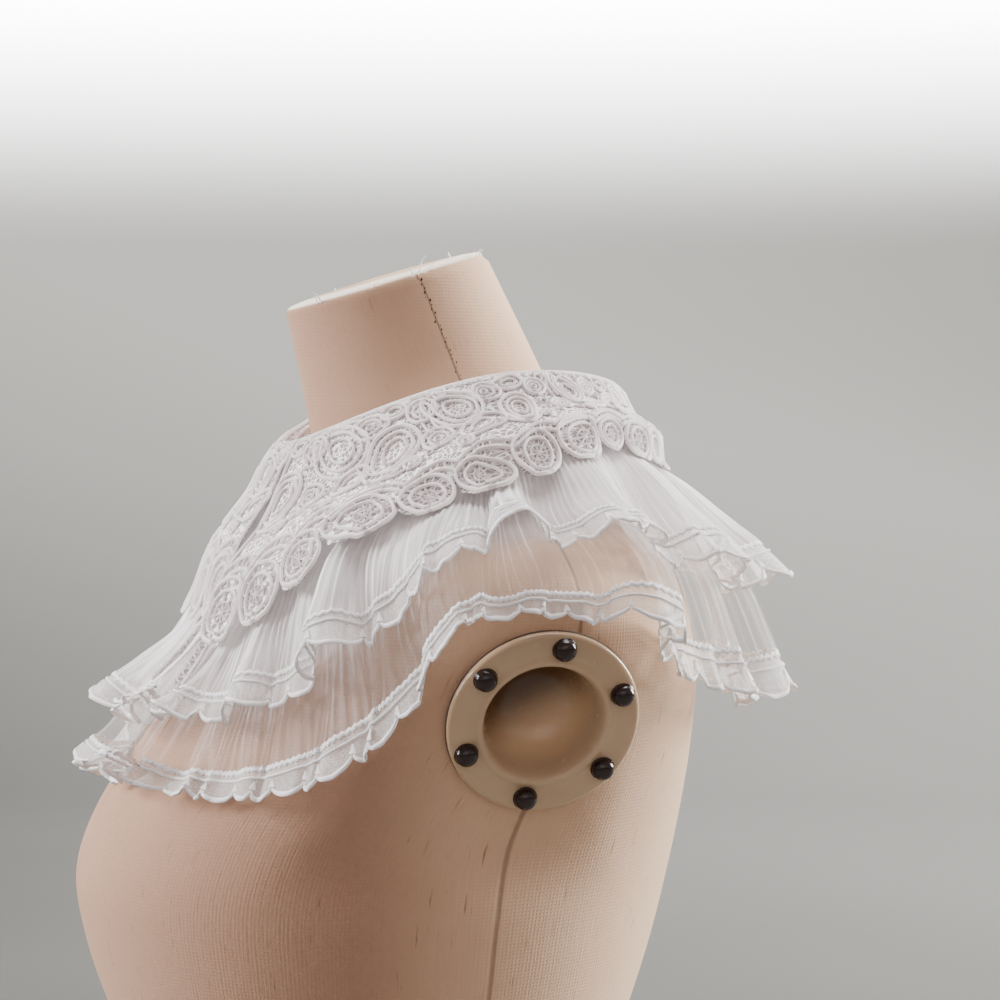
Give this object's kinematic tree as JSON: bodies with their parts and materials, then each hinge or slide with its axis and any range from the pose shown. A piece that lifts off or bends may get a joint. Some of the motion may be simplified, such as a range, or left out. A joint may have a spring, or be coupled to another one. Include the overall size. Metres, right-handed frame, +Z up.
{
  "type": "detachable collar on a dress form",
  "caption": "Detachable collar: corded lace fall over pleated frills with scalloped lace edging, worn round the neck of a limbless dress form.",
  "frame": {"origin": "middle of the dress form's flat base, where it stands", "axes": "+Z up, -Y is the front of the form, +X its left side"},
  "size_m": [0.3688, 0.327, 0.6629],
  "materials": {
    "form_cloth": "plain-woven cover, matt",
    "plate": "satin moulded plastic",
    "bolt": "glossy dome",
    "chiffon": "fine sheer pleated chiffon",
    "edging": "narrow net lace with corded scallops",
    "lace": "corded openwork lace, matt"
  },
  "bodies": {
    "root": {"dress_form": "form_cloth", "arm_plate_left": "plate", "arm_plate_right": "plate", "plate_bolt_left_1": "bolt", "plate_bolt_left_2": "bolt", "plate_bolt_left_3": "bolt", "plate_bolt_left_4": "bolt", "plate_bolt_left_5": "bolt", "plate_bolt_left_6": "bolt", "plate_bolt_right_1": "bolt", "plate_bolt_right_2": "bolt", "plate_bolt_right_3": "bolt", "plate_bolt_right_4": "bolt", "plate_bolt_right_5": "bolt", "plate_bolt_right_6": "bolt", "neckband": "chiffon", "lower_frill": "chiffon", "lower_edging": "edging", "upper_frill": "chiffon", "upper_edging": "edging", "lace_collar_left": "lace", "lace_collar_right": "lace", "front_strip_left": "lace", "front_strip_right": "lace"}
  },
  "joints": []
}
